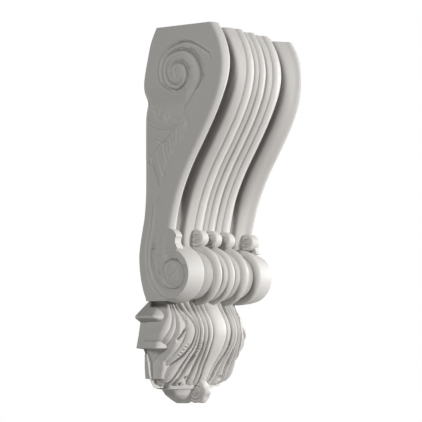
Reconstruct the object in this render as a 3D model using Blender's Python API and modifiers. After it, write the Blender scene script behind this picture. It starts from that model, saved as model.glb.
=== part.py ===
# A scrolled corbel, cast in one piece: a reeded S scroll over a bolster with five
# small scroll ends, standing on an acanthus drop.
# Frame: +Z up, the front faces -Y, the back lies on the plane Y = 0, and the
# origin is the middle of the back. Lengths below are millimetres.

import bpy
import bmesh
import math
from mathutils import Vector
from mathutils.geometry import delaunay_2d_cdt

UNIT = 0.001

# Overall sizes
HEIGHT = 600.0
HALF_WIDTH = 124.0
ORIGIN_HEIGHT = 300.0

# Front line of the side rims: (height, depth from the wall)
FRONT_LINE = [
    (150.0, 44.0), (240.0, 45.3), (272.0, 47.8), (300.0, 52.8), (340.0, 64.7),
    (380.0, 82.8), (420.0, 105.8), (460.0, 127.8), (495.0, 142.4), (520.0, 148.2),
    (540.0, 149.1), (560.0, 146.0), (580.0, 139.0), (600.0, 128.0),
]

# Reeds across the front: the middle ones as distances from the middle, the rims as widths
# from the side face; the deep groove takes what is left between them
CENTRE_HALF = 7.7
NARROW_GROOVE = 18.5
LIP_INNER = 31.2
LIP_OUTER = 47.8
DEEP_GROOVE_WIDTH = 12.5

# Rim from the side face inwards, down to the deep groove: (distance from the face, level)
RIM_PROFILE = [
    (0.0, -9.6), (0.7, -6.4), (2.0, -3.9), (4.0, -2.0), (6.5, -0.7), (10.0, 0.0),
    (14.0, -1.2), (19.7, -6.6), (26.5, -11.4), (33.0, -17.0), (37.2, -24.5), (41.5, -31.0),
]
RIM_FOOT = HALF_WIDTH - RIM_PROFILE[-1][0]
DEEP_GROOVE = RIM_FOOT - DEEP_GROOVE_WIDTH

# Levels of the reeds, measured from the top of the rims
CENTRE_LEVEL = -3.8
CENTRE_CREASE = -8.8
NARROW_GROOVE_LEVEL = -16.0
LIP_LEVEL = -2.1
LIP_CREASE = -7.5
DEEP_GROOVE_LEVEL = -31.0
REED_ROUNDNESS = 2.2
GROOVE_ROUNDNESS = 2.6

# Back edge of the side scrolls, (height, depth): it follows the two scrolls, while the
# core between them reaches back to the wall
BACK_EDGE = [
    (150.0, 2.0), (167.0, 0.5), (177.0, -3.3), (196.0, -8.6), (215.0, -11.5), (234.0, -12.6),
    (253.0, -10.6), (278.0, -6.0), (300.0, -2.0), (335.0, 0.0), (455.0, 0.0), (480.0, 3.0),
    (498.0, -3.0), (512.0, -4.0), (527.0, -2.0), (551.0, 3.0), (577.0, 9.5), (600.0, 20.0),
]
WALL_GAP = 20.0
CORE_HALF = 84.0
CORE_HALF_TOP = 62.0
CORE_TAPER = 60.0

# Rear edge of the scroll band on the side faces, (height, depth)
BAND_EDGE = [
    (150.0, 8.0), (250.0, 8.0), (276.0, 10.0), (308.0, 18.0), (334.0, 27.0), (350.0, 31.0),
    (367.0, 40.0), (388.0, 54.0), (414.0, 69.0), (440.0, 82.0), (455.0, 76.0), (468.0, 72.0),
    (500.0, 76.0), (600.0, 76.0),
]

# Sunk field behind the band and the hollow under the upper scroll, (height, sinking)
FIELD_SINKING = [
    (150.0, 0.0), (318.0, 0.0), (345.0, 3.0), (450.0, 3.5), (466.0, 6.0), (482.0, 6.5),
    (496.0, 3.0), (506.0, 0.0), (600.0, 0.0),
]
BAND_STEP = 1.6
SIDE_SETBACK = 1.0
BODY_OVERLAP = 8.0
BODY_ROWS = 18

# Bolster: its axis, the radius of its middle reed, and its other levels from that
BOLSTER_HEIGHT = 207.5
BOLSTER_DEPTH = 38.5
BOLSTER_RADIUS = 48.0
BOLSTER_CENTRE_CREASE = -6.0
BOLSTER_NARROW_LEVEL = -11.0
BOLSTER_LIP = 1.5
BOLSTER_LIP_CREASE = -7.5
BOLSTER_CHANNEL = -14.0
BOLSTER_BAND_LEVEL = -1.5
BOLSTER_END_LEVEL = -6.8
BOLSTER_BAND_WIDTH = 38.0
BOLSTER_WALL_WIDTH = 7.0
BOLSTER_BAND = HALF_WIDTH - BOLSTER_BAND_WIDTH
BOLSTER_FOOT = BOLSTER_BAND - BOLSTER_WALL_WIDTH
BOLSTER_OVERHANG = 1.0
BOLSTER_STEPS = 18

# Five small curls where the reeds meet the bolster
CURL_HEIGHT = 266.5
CURL_DEPTH = 45.3
CURL_RADIUS = 14.0
CURL_ROUNDING = 2.6
CURL_OVERLAP = 1.0
EDGE_CURL_WIDTH = 23.0
CURL_STEPS = 10

# The scroll above the small curls is a free form: it is drawn at the height of the front
# line, and above the curls it keeps its proportions in another overall height
DRAWN_HEIGHT = FRONT_LINE[-1][0]
SCROLL_BASE = CURL_HEIGHT + CURL_RADIUS

# Carved lines on the sides
UPPER_EYE = (60.0, 525.0)
UPPER_START_RADIUS = 14.9
UPPER_START_ANGLE = 150.0
UPPER_SWEEP = 566.0
UPPER_GROWTH = 2.2
UPPER_POINTS = 26
UPPER_FINE_WIDTH = 3.0
UPPER_BROAD_WIDTH = 9.0
UPPER_TAIL = [(81.0, 474.0), (75.0, 465.0), (72.0, 455.0)]
UPPER_TAIL_WIDTHS = [8.5, 7.0, 4.0]
UPPER_TAIL_RISES = [2.6, 2.0, 0.8]
OUTER_LINE_START_TURN = 330.0
OUTER_LINE_SWEEP = 168.0
OUTER_LINE_OPENING = 24.5
OUTER_LINE_POINTS = 11
OUTER_LINE_WIDTH = 4.0
OUTER_LINE_SWELL = 7.0
RIDGE_RISE = 3.0
LINE_RISE = 2.4
ROOT = 3.0
ABOVE = 4.0

# Lower scroll on the bolster's ends: its line from the eye outward, (depth, height)
LOWER_LINE = [
    (53.0, 207.0), (46.0, 201.0), (40.0, 203.0), (37.0, 209.0), (37.0, 216.0), (39.0, 224.0), (45.0, 228.0),
    (54.0, 229.0), (64.0, 225.0), (71.0, 217.0), (75.0, 206.0), (73.0, 195.0), (67.0, 187.0), (57.0, 183.0),
    (45.0, 184.0), (35.0, 189.0), (26.0, 197.0), (19.0, 210.0), (15.0, 222.0), (14.0, 233.0), (15.0, 246.0),
    (19.0, 257.0), (26.0, 269.0),
]
LOWER_POINTS = 24
LOWER_RISE = 2.2
LOWER_WIDTH = 4.5
HOLLOW_DEPTH = 5.5
HOLLOW_WIDTH = 9.5
SKIPPED_POINTS = 10
HOLLOW_POINTS = 15

# Side leaf in the sunk field: outline (depth, height), level below the side plane
SIDE_LEAF_SINKING = 0.8
SIDE_LEAF_BED = 8.0
SIDE_LEAF = [
    (2.0, 474.0), (10.0, 475.0), (19.0, 469.5), (21.0, 460.0), (23.5, 457.0), (27.0, 463.5), (33.5, 464.5),
    (39.0, 462.0), (40.0, 454.0), (42.5, 450.5), (46.5, 455.5), (56.0, 452.5), (66.0, 451.5), (75.0, 447.0),
    (73.0, 433.0), (63.0, 415.0), (50.0, 394.0), (38.0, 370.0), (29.0, 348.0), (26.5, 343.0), (21.0, 352.0),
    (11.0, 378.0), (3.0, 386.0),
]
VEIN_RISE = 1.4
SIDE_VEINS = [
    [(71.0, 445.5), (58.0, 438.0), (46.0, 427.0), (33.0, 416.0), (19.0, 403.0), (8.0, 394.0)],
    [(66.0, 446.0), (56.0, 441.0), (42.0, 437.0), (25.0, 438.0), (13.0, 443.5), (3.0, 448.0)],
    [(40.0, 420.0), (33.0, 416.5), (23.0, 421.5), (12.0, 417.0), (3.0, 411.0)],
]

# Drop below the bolster: (height, half width, depth of its sides, depth in the middle)
DROP_SECTIONS = [
    (172.0, 86.0, -2.0, 38.0), (164.0, 88.0, 3.0, 40.0), (141.0, 124.0, 14.0, 44.0),
    (137.0, 124.0, 15.0, 45.0), (131.0, 110.0, 18.0, 47.0), (110.0, 115.0, 18.0, 48.0),
    (89.5, 121.0, 17.0, 43.0), (88.0, 101.0, 17.0, 40.0), (80.5, 96.0, 17.0, 36.0),
    (79.0, 98.0, 17.0, 36.0), (60.0, 98.0, 15.0, 29.0), (41.0, 96.0, 10.0, 22.0),
    (39.0, 71.0, 6.0, 21.0), (24.5, 65.0, 3.0, 18.0), (23.0, 50.0, 1.0, 16.0),
    (14.0, 40.0, -2.0, 13.0), (6.0, 23.0, -6.0, 8.0), (0.0, 8.0, -11.0, -2.0),
]
DROP_ROUNDING = 1.5
DROP_SHOULDER = 3.0
DROP_POINTS = 7

# The drop and its leaf are free forms too: they keep their proportions in another width
DRAWN_HALF_WIDTH = max(half for height, half, side, middle in DROP_SECTIONS)

# Sheet the leaf is carved on: (height, depth in the middle, half width it wraps to)
LEAF_SHEET = [
    (0.0, 20.0, 50.0), (24.0, 22.0, 62.0), (44.0, 27.0, 88.0), (64.0, 36.0, 104.0),
    (88.0, 50.5, 118.0), (104.0, 57.5, 124.0), (118.0, 59.6, 126.0), (133.0, 56.0, 123.0),
    (154.0, 45.0, 114.0), (180.0, 36.0, 108.0),
]
LEAF_WRAP = 2.2
LEAF_STEEPEST_ACROSS = 2.5
LEAF_STEEPEST_UP = 1.5
LEAF_ROOT_DEPTH = -6.0
LEAF_BED_SLOPE = 0.06
LEAF_SQUARE_LIMIT = -6.0
LEAF_LEAST_STEP = 0.6

# Lines of the leaf from the middle outward: distance across at each leaf height, then
# level above the sheet at the same heights
LEAF_HEIGHTS = (176.0, 150.0, 125.0, 105.0, 90.0, 78.0, 62.0, 50.0, 40.0, 31.0, 24.0)
LEAF_LINES = [
    ((13, 13, 13, 12, 12, 11, 8, 7, 6, 6, 5), (2, 3, 3.5, 3.5, 3.5, 3.5, 4, 4, 3, 0, -6)),
    ((20, 20, 19, 18, 17, 15, 12, 10, 9, 8, 7), (0, 0.5, 0.5, 0.5, 0.5, 0.5, 0, -1, -2, -4, -8)),
    ((28, 27, 27, 26, 25, 22, 18, 16, 15, 14, 12), (1, 2, 2.5, 2.5, 2.5, 2.5, 2, 2, 1, -3, -9)),
    ((36, 34, 34, 33, 32, 29, 25, 23, 22, 20, 17), (-2, -5, -6, -6, -6, -6, -5, -5, -6, -7, -10)),
    ((40, 39, 38, 37, 35, 33, 30, 28, 27, 25, 21), (1, 3, 3.5, 3.5, 3, 3, 3, 3, 2, -2, -10)),
    ((45, 45, 43, 42, 40, 38, 37, 37, 38, 36, 30), (0, 0.5, 0.5, 0, -1, -3, -4, -5, -7, -8, -12)),
    ((50, 50, 49, 48, 46, 46, 46, 48, 53, 56, 50), (1, 3, 3.5, 3.5, 3, 3, 3, 3, 3, 1, -12)),
    ((55, 54, 54, 53, 51, 53, 56, 58, 62, 64, 58), (-1, -2, -2, -2, -2, -4, -4, -5, -6, -8, -14)),
    ((62, 60, 57, 57, 57, 60, 63, 66, 70, 71, 64), (1, 3, 3.5, 3.5, 3.5, 4, 4, 4, 4, 1, -14)),
    ((70, 66, 59.5, 60, 61, 65, 68, 71, 74, 74, 68), (0, 1, 1.5, 1.5, 1.5, 1.5, 1, 1, 1, -2, -14)),
    ((78, 73, 62, 63, 66, 71, 79, 82, 82, 78, 72), (1, 3, 3.5, 3.5, 4, 5, 7, 8, 7, 3, -14)),
    ((84, 79, 65, 66, 70, 76, 87, 91, 90, 83, 76), (-2, -5, -6, -6, -6, -5, 0, 0, -3, -6, -16)),
    ((87, 83, 69, 70, 75, 82, 92, 95, 92, 86, 79), (1, 3, 4, 4.5, 4, 4, 0, -10, -12, -14, -18)),
    ((90, 86, 80, 82, 86, 90, 95, 98, 95, 88, 81), (2, 3, 2, 1, 2, 3, 0, -12, -14, -16, -20)),
    ((92, 90, 92, 94, 95, 97, 98, 100, 97, 90, 82), (2, 3, 4.5, 5, 4, 1, -4, -14, -16, -18, -22)),
    ((94, 91.5, 96, 101, 102, 101, 101, 102, 99, 92, 84), (0, -2, -3, -3, -5, -8, -14, -16, -18, -20, -24)),
    ((96, 93.5, 100, 107, 108, 105, 103, 104, 100, 93, 85), (2, 2.5, 2.5, 2, -5, -10, -15, -18, -20, -22, -26)),
    ((98, 95.5, 104, 112, 111, 108, 105, 105, 101, 94, 86), (0, -1, -1, -1.5, -7, -12, -16, -19, -22, -24, -28)),
    ((100, 98, 109, 117, 115, 111, 107, 106, 102, 95, 87), (2, 2.5, 2.5, 2, -8, -13, -17, -20, -24, -26, -30)),
    ((103, 102, 115, 121.5, 119, 114, 109, 107, 103, 96, 88), (-2, -1, 0, -1, -10, -14, -18, -21, -26, -28, -32)),
]
LEAF_ROWS = 14
LEAF_TOP = 186.0
LEAF_BOTTOM = 26.0

BALL_RADIUS = 18.5
BALL_DEPTH = 18.5
BALL_HALF_LENGTH = 12.0
BALL_ROUNDING = 4.5
BALL_LIFT = 0.4


def table(rows, height, column=1):
    """Smooth value at a height, read between the rows of a table."""
    rows = sorted(rows)
    if height <= rows[0][0]:
        return rows[0][column]
    if height >= rows[-1][0]:
        return rows[-1][column]
    for k in range(len(rows) - 1):
        if rows[k][0] <= height <= rows[k + 1][0]:
            break
    z0, z1 = rows[k][0], rows[k + 1][0]
    v0, v1 = rows[k][column], rows[k + 1][column]
    before = rows[max(k - 1, 0)]
    after = rows[min(k + 2, len(rows) - 1)]
    m0 = (v1 - before[column]) / max(z1 - before[0], 1e-6)
    m1 = (after[column] - v0) / max(after[0] - z0, 1e-6)
    span = z1 - z0
    t = (height - z0) / span
    a = 2 * t ** 3 - 3 * t ** 2 + 1
    b = t ** 3 - 2 * t ** 2 + t
    c = -2 * t ** 3 + 3 * t ** 2
    d = t ** 3 - t ** 2
    return a * v0 + b * span * m0 + c * v1 + d * span * m1


def straight(rows, height, column=1):
    """Value at a height, read along straight lines between the rows."""
    rows = sorted(rows)
    if height <= rows[0][0]:
        return rows[0][column]
    for low, high in zip(rows, rows[1:]):
        if height <= high[0]:
            t = (height - low[0]) / (high[0] - low[0])
            return low[column] + t * (high[column] - low[column])
    return rows[-1][column]


def at(x, depth, height):
    """Point of the part's frame from millimetres across, out from the wall and up."""
    return Vector((x * UNIT, -(depth + WALL_GAP) * UNIT, (height - ORIGIN_HEIGHT) * UNIT))


def dome(t, power=2.0):
    return max(0.0, 1.0 - abs(t) ** power) ** (1.0 / power)


def raised(height):
    """Height on the part of a height in the drawing."""
    if height <= SCROLL_BASE:
        return height
    return SCROLL_BASE + (height - SCROLL_BASE) * (HEIGHT - SCROLL_BASE) / (DRAWN_HEIGHT - SCROLL_BASE)


def spread(x):
    """Distance across the part of one in the drawing of the drop."""
    return x * HALF_WIDTH / DRAWN_HALF_WIDTH


def wall(x, edge, level, bottom, low):
    """Level on a groove's wall, which rounds over from its edge down to its bottom."""
    return low + (level - low) * dome((x - edge) / (bottom - edge), GROOVE_ROUNDNESS)


def reed_level(x):
    """Level of the reeded front at a distance x from the middle."""
    x = abs(x)
    if x <= CENTRE_HALF:
        return CENTRE_CREASE + (CENTRE_LEVEL - CENTRE_CREASE) * dome(x / CENTRE_HALF, REED_ROUNDNESS)
    if x <= NARROW_GROOVE:
        return wall(x, CENTRE_HALF, CENTRE_CREASE, NARROW_GROOVE, NARROW_GROOVE_LEVEL)
    if x <= LIP_INNER:
        return wall(x, LIP_INNER, LIP_CREASE, NARROW_GROOVE, NARROW_GROOVE_LEVEL)
    if x <= LIP_OUTER:
        middle = (LIP_INNER + LIP_OUTER) / 2
        return LIP_CREASE + (LIP_LEVEL - LIP_CREASE) * dome((x - middle) / (LIP_OUTER - middle), REED_ROUNDNESS)
    if x <= DEEP_GROOVE:
        return wall(x, LIP_OUTER, LIP_CREASE, DEEP_GROOVE, DEEP_GROOVE_LEVEL)
    if x <= RIM_FOOT:
        return DEEP_GROOVE_LEVEL
    return straight(RIM_PROFILE, HALF_WIDTH - x)


def between(a, b, shares):
    return [a + (b - a) * s for s in shares]


def middle_stations():
    """Distances from the middle where the reeds are sampled, out to the outer lip."""
    half = between(0.0, CENTRE_HALF, (0.6, 0.98))
    half += between(CENTRE_HALF, NARROW_GROOVE, (0.65, 0.98))
    half += between(NARROW_GROOVE, LIP_INNER, (0.3, 0.98))
    half += between(LIP_INNER, LIP_OUTER, (0.04, 0.3, 0.7, 0.96))
    return half


def both_ways(half):
    return [-x for x in reversed(half)] + [0.0] + half


def reed_stations():
    half = middle_stations()
    half += between(LIP_OUTER, DEEP_GROOVE, (0.45, 0.75, 0.93, 1.0))
    half += [HALF_WIDTH - distance for distance, level in reversed(RIM_PROFILE)]
    return both_ways(half)


def bolster_stations():
    half = middle_stations()
    half += between(LIP_OUTER, BOLSTER_FOOT, (0.5, 0.85, 1.0))
    half += between(BOLSTER_FOOT, BOLSTER_BAND, (0.3, 0.97))
    half += between(BOLSTER_BAND, HALF_WIDTH, (0.5, 1.0))
    return both_ways(half)


def side_level(depth, height):
    """How far a side face stands from its plane; the field behind the band is sunk."""
    if depth < table(BAND_EDGE, height):
        return -straight(FIELD_SINKING, height)
    return 0.0


def core_half(height):
    over = max(0.0, height - (DRAWN_HEIGHT - CORE_TAPER)) / CORE_TAPER
    return CORE_HALF + (CORE_HALF_TOP - CORE_HALF) * over


def bolster_level(x):
    """Level of the bolster's reeds, which end in two broad bands, from its middle reed."""
    x = abs(x)
    if x <= CENTRE_HALF:
        return BOLSTER_CENTRE_CREASE * (1.0 - dome(x / CENTRE_HALF, REED_ROUNDNESS))
    if x <= NARROW_GROOVE:
        return wall(x, CENTRE_HALF, BOLSTER_CENTRE_CREASE, NARROW_GROOVE, BOLSTER_NARROW_LEVEL)
    if x <= LIP_INNER:
        return wall(x, LIP_INNER, BOLSTER_LIP_CREASE, NARROW_GROOVE, BOLSTER_NARROW_LEVEL)
    if x <= LIP_OUTER:
        middle = (LIP_INNER + LIP_OUTER) / 2
        rise = BOLSTER_LIP - BOLSTER_LIP_CREASE
        return BOLSTER_LIP_CREASE + rise * dome((x - middle) / (LIP_OUTER - middle), REED_ROUNDNESS)
    if x <= BOLSTER_FOOT:
        return wall(x, LIP_OUTER, BOLSTER_LIP_CREASE, BOLSTER_FOOT, BOLSTER_CHANNEL)
    if x <= BOLSTER_BAND:
        return wall(x, BOLSTER_BAND, BOLSTER_BAND_LEVEL, BOLSTER_FOOT, BOLSTER_CHANNEL)
    t = (x - BOLSTER_BAND) / (HALF_WIDTH - BOLSTER_BAND)
    return BOLSTER_BAND_LEVEL + (BOLSTER_END_LEVEL - BOLSTER_BAND_LEVEL) * t


def new_object(name, mesh, collection):
    obj = bpy.data.objects.new(name, mesh)
    collection.objects.link(obj)
    return obj


def fill(bm, ring, across, up):
    """Close a flat outline with triangles that stay inside it; the axes are those it spans."""
    count = len(ring)
    flat = [Vector((v.co[across], v.co[up])) for v in ring]
    edges = [(i, (i + 1) % count) for i in range(count)]
    found = delaunay_2d_cdt(flat, edges, [], 1, 1e-7)
    faces, origins = found[2], found[3]
    for face in faces:
        bm.faces.new([ring[origins[i][0]] for i in face])


def cap(bm, ring):
    heights = [v.co.z for v in ring]
    if max(heights) - min(heights) > 1e-6:
        bm.faces.new(ring)
    else:
        fill(bm, ring, 0, 1)


def loft(name, rings, collection):
    """Closed solid through a row of rings with equal numbers of points."""
    bm = bmesh.new()
    layers = [[bm.verts.new(p) for p in ring] for ring in rings]
    for lower, upper in zip(layers, layers[1:]):
        for i in range(len(lower)):
            j = (i + 1) % len(lower)
            bm.faces.new((lower[i], lower[j], upper[j], upper[i]))
    cap(bm, layers[0])
    cap(bm, layers[-1])
    bmesh.ops.triangulate(bm, faces=bm.faces[:], ngon_method='EAR_CLIP')
    bmesh.ops.recalc_face_normals(bm, faces=bm.faces[:])
    mesh = bpy.data.meshes.new(name)
    bm.to_mesh(mesh)
    bm.free()
    return new_object(name, mesh, collection)


def turned(name, profile, depth, height, steps, collection):
    """Solid turned about a line across the part, from (x, radius) points."""
    points = [(profile[0][0], 0.0)] + profile + [(profile[-1][0], 0.0)]
    mesh = bpy.data.meshes.new(name + "_profile")
    mesh.from_pydata([(x * UNIT, 0.0, r * UNIT) for x, r in points],
                     [(i, i + 1) for i in range(len(points) - 1)], [])
    obj = new_object(name, mesh, collection)
    obj.location = at(0.0, depth, height)
    screw = obj.modifiers.new("turn", 'SCREW')
    screw.axis = 'X'
    screw.angle = math.tau
    screw.steps = steps
    screw.render_steps = steps
    screw.use_merge_vertices = True
    screw.merge_threshold = 0.00002
    bpy.context.view_layer.update()
    solid = bpy.data.meshes.new_from_object(obj.evaluated_get(bpy.context.evaluated_depsgraph_get()))
    bm = bmesh.new()
    bm.from_mesh(solid)
    bmesh.ops.remove_doubles(bm, verts=bm.verts[:], dist=0.00002)
    bmesh.ops.triangulate(bm, faces=bm.faces[:])
    bmesh.ops.recalc_face_normals(bm, faces=bm.faces[:])
    bm.to_mesh(solid)
    bm.free()
    obj.modifiers.clear()
    obj.data = solid
    return obj


def scroll_body(collection):
    rings = []
    base = DROP_SECTIONS[0][0] - BODY_OVERLAP
    for k in range(BODY_ROWS):
        height = base + (DRAWN_HEIGHT - base) * k / (BODY_ROWS - 1)
        up = raised(height)
        front = table(FRONT_LINE, height)
        edge = table(BAND_EDGE, height)
        back = table(BACK_EDGE, height)
        last = front + RIM_PROFILE[0][1] - SIDE_SETBACK
        inner = [back, edge - BAND_STEP / 2]
        outer = [edge + BAND_STEP, (edge + last) / 2, last]
        side = [(HALF_WIDTH + side_level(d, height), d) for d in inner + outer]
        core = core_half(height)
        left = [(core, -WALL_GAP), (core, back)] + side
        ring = [at(-x, d, up) for x, d in left]
        for x in reed_stations():
            ring.append(at(x, front + reed_level(x), up))
        ring += [at(x, d, up) for x, d in reversed(left)]
        rings.append(ring)
    return loft("body", rings, collection)


def bolster(collection):
    profile = [(x, BOLSTER_RADIUS + bolster_level(x)) for x in bolster_stations()]
    end = HALF_WIDTH + BOLSTER_OVERHANG
    face = BOLSTER_RADIUS + BOLSTER_END_LEVEL - BOLSTER_OVERHANG / 2
    profile = [(-end, face)] + profile + [(end, face)]
    return turned("bolster", profile, BOLSTER_DEPTH, BOLSTER_HEIGHT, BOLSTER_STEPS, collection)


def curls(collection):
    lip = (LIP_INNER - CURL_OVERLAP, LIP_OUTER + CURL_OVERLAP)
    edge = (HALF_WIDTH - EDGE_CURL_WIDTH, HALF_WIDTH)
    spans = [(-edge[1], -edge[0]), (-lip[1], -lip[0]), (-CENTRE_HALF - CURL_OVERLAP, CENTRE_HALF + CURL_OVERLAP),
             lip, edge]
    for number, (left, right) in enumerate(spans):
        middle, half = (left + right) / 2, (right - left) / 2
        profile = []
        for share in (-1.0, -0.75, 0.0, 0.75, 1.0):
            radius = CURL_RADIUS - CURL_ROUNDING * (1.0 - dome(share, GROOVE_ROUNDNESS))
            profile.append((middle + half * share, radius))
        turned("curl_%d" % (number + 1), profile, CURL_DEPTH, CURL_HEIGHT, CURL_STEPS, collection)


def spiral(eye, start_radius, growth, start_angle, sweep, count):
    """Points of a growing spiral in the side plane, turning from the top to the front."""
    path = []
    for k in range(count):
        turn = sweep * k / (count - 1)
        radius = start_radius * growth ** (turn / 360.0)
        angle = math.radians(start_angle - turn)
        path.append((eye[0] + radius * math.cos(angle), eye[1] + radius * math.sin(angle)))
    return path


def directions(path):
    out = []
    for k in range(len(path)):
        a = path[max(k - 1, 0)]
        b = path[min(k + 1, len(path) - 1)]
        length = math.hypot(b[0] - a[0], b[1] - a[1])
        out.append(((b[0] - a[0]) / length, (b[1] - a[1]) / length))
    return out


def side_ridge(name, path, widths, rises, side, collection, ground=None, lean=0.35):
    """Ridge along a path (depth, height) on a side face: steep on its right-hand side."""
    rings = []
    for (d, z), (td, tz), width, rise in zip(path, directions(path), widths, rises):
        nd, nz = -tz, td
        ring = []
        for across, up in ((-0.5 * lean * width, -ROOT), (-0.2 * lean * width, rise),
                           (0.15 * width, rise), (width, -ROOT * 0.4)):
            dd, zz = d + nd * across, z + nz * across
            level = HALF_WIDTH + (side_level(dd, zz) if ground is None else ground) + up
            ring.append(at(side * level, dd, raised(zz)))
        rings.append(ring)
    return loft(name, rings, collection)


def side_hollow(name, path, widths, depths, side, collection):
    """Cutter along a path on a side face: a steep wall at the path and a slope back up inside it."""
    rings = []
    for (d, z), (td, tz), width, depth in zip(path, directions(path), widths, depths):
        nd, nz = tz, -td
        ring = []
        for across, up in ((0.0, ABOVE), (0.12 * width, -depth), (width, 0.0), (width, ABOVE)):
            ring.append(at(side * (HALF_WIDTH + BOLSTER_OVERHANG + up), d + nd * across, raised(z + nz * across)))
        rings.append(ring)
    return loft(name, rings, collection)


def smooth_path(points, count):
    """Even run of points along a soft curve through the given ones."""
    dense = []
    for k in range(len(points) - 1):
        p0 = points[max(k - 1, 0)]
        p1, p2 = points[k], points[k + 1]
        p3 = points[min(k + 2, len(points) - 1)]
        for s in range(12):
            t = s / 12.0
            dense.append(tuple(
                0.5 * ((2 * b) + (c - a) * t + (2 * a - 5 * b + 4 * c - d) * t * t
                       + (3 * b - a - 3 * c + d) * t ** 3)
                for a, b, c, d in zip(p0, p1, p2, p3)))
    dense.append(tuple(points[-1]))
    lengths = [0.0]
    for a, b in zip(dense, dense[1:]):
        lengths.append(lengths[-1] + math.hypot(b[0] - a[0], b[1] - a[1]))
    out = []
    for k in range(count):
        want = lengths[-1] * k / (count - 1)
        for i in range(len(lengths) - 1):
            if lengths[i + 1] >= want:
                break
        gap = max(lengths[i + 1] - lengths[i], 1e-9)
        t = (want - lengths[i]) / gap
        out.append(tuple(a + (b - a) * t for a, b in zip(dense[i], dense[i + 1])))
    return out


def side_carving(side, collection):
    tag = "left" if side < 0 else "right"
    count = UPPER_POINTS
    path = spiral(UPPER_EYE, UPPER_START_RADIUS, UPPER_GROWTH, UPPER_START_ANGLE, UPPER_SWEEP, count)
    path += UPPER_TAIL
    widening = UPPER_BROAD_WIDTH - UPPER_FINE_WIDTH
    widths = [UPPER_FINE_WIDTH + widening * k / count for k in range(count)] + UPPER_TAIL_WIDTHS
    rises = [RIDGE_RISE * min(1.0, 0.3 + k / 6.0) for k in range(count)] + UPPER_TAIL_RISES
    side_ridge("upper_scroll_" + tag, path, widths, rises, side, collection)
    outer, widths, rises = [], [], []
    for k in range(OUTER_LINE_POINTS):
        share = k / (OUTER_LINE_POINTS - 1)
        turn = OUTER_LINE_START_TURN + OUTER_LINE_SWEEP * share
        radius = UPPER_START_RADIUS * UPPER_GROWTH ** (turn / 360.0) + OUTER_LINE_OPENING * share ** 1.25
        angle = math.radians(UPPER_START_ANGLE - turn)
        outer.append((UPPER_EYE[0] + radius * math.cos(angle), UPPER_EYE[1] + radius * math.sin(angle)))
        widths.append(OUTER_LINE_WIDTH + OUTER_LINE_SWELL * math.sin(math.pi * share))
        rises.append(LINE_RISE * min(1.0, 0.15 + 2.5 * share, 0.1 + 4.0 * (1.0 - share)))
    side_ridge("upper_line_" + tag, outer, widths, rises, side, collection)
    path = smooth_path(LOWER_LINE, LOWER_POINTS)
    side_ridge("lower_scroll_" + tag, path, [LOWER_WIDTH] * LOWER_POINTS,
               [BOLSTER_OVERHANG + LOWER_RISE * min(1.0, 0.3 + k / 5.0) for k in range(LOWER_POINTS)],
               side, collection)


def lower_hollow(side, collection):
    """Crescent sunk inside the lower scroll's line, deepest on its front half."""
    whole = smooth_path(LOWER_LINE, 2 * LOWER_POINTS)
    path = whole[SKIPPED_POINTS:SKIPPED_POINTS + 2 * HOLLOW_POINTS:2]
    swell = [math.sin(math.pi * (k + 0.35) / (HOLLOW_POINTS - 0.3)) for k in range(HOLLOW_POINTS)]
    side_hollow("lower_hollow_" + ("left" if side < 0 else "right"), path,
                [HOLLOW_WIDTH * max(0.25, share) for share in swell], [HOLLOW_DEPTH * share for share in swell],
                side, collection)


def side_leaf(side, collection):
    """Low plate with a jagged top edge, and the veins raised on it."""
    tag = "left" if side < 0 else "right"
    bm = bmesh.new()
    low = [bm.verts.new(at(side * (HALF_WIDTH - SIDE_LEAF_BED), d, raised(z))) for d, z in SIDE_LEAF]
    high = [bm.verts.new(at(side * (HALF_WIDTH - SIDE_LEAF_SINKING), d, raised(z))) for d, z in SIDE_LEAF]
    fill(bm, low, 1, 2)
    fill(bm, high, 1, 2)
    for i in range(len(low)):
        j = (i + 1) % len(low)
        bm.faces.new((low[i], low[j], high[j], high[i]))
    bmesh.ops.triangulate(bm, faces=bm.faces[:])
    bmesh.ops.recalc_face_normals(bm, faces=bm.faces[:])
    mesh = bpy.data.meshes.new("side_leaf")
    bm.to_mesh(mesh)
    bm.free()
    new_object("side_leaf_" + tag, mesh, collection)
    for number, points in enumerate(SIDE_VEINS):
        count = 6
        path = smooth_path(points, count)
        widths = [4.5 * (1.0 - 0.45 * k / (count - 1)) for k in range(count)]
        rises = [VEIN_RISE * min(1.0, 1.3 * (1.0 - 0.8 * k / (count - 1))) for k in range(count)]
        side_ridge("vein_%d_%s" % (number + 1, tag), path, widths, rises, side, collection,
                   ground=-SIDE_LEAF_SINKING)


def leaf_depth(x, height):
    reach = table(LEAF_SHEET, height, 2)
    return table(LEAF_SHEET, height, 1) * dome(min(1.0, abs(x) / reach), LEAF_WRAP)


def leaf_point(x, height, level):
    """Point standing off the leaf's sheet by a level, square to the sheet."""
    step = 1.0
    slope_x = (leaf_depth(x + step, height) - leaf_depth(x - step, height)) / (2 * step)
    slope_z = (leaf_depth(x, height + step) - leaf_depth(x, height - step)) / (2 * step)
    slope_x = max(-LEAF_STEEPEST_ACROSS, min(LEAF_STEEPEST_ACROSS, slope_x))
    slope_z = max(-LEAF_STEEPEST_UP, min(LEAF_STEEPEST_UP, slope_z))
    size = math.sqrt(slope_x ** 2 + slope_z ** 2 + 1.0)
    return (x - slope_x / size * level, leaf_depth(x, height) + level / size, height - slope_z / size * level)


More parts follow.
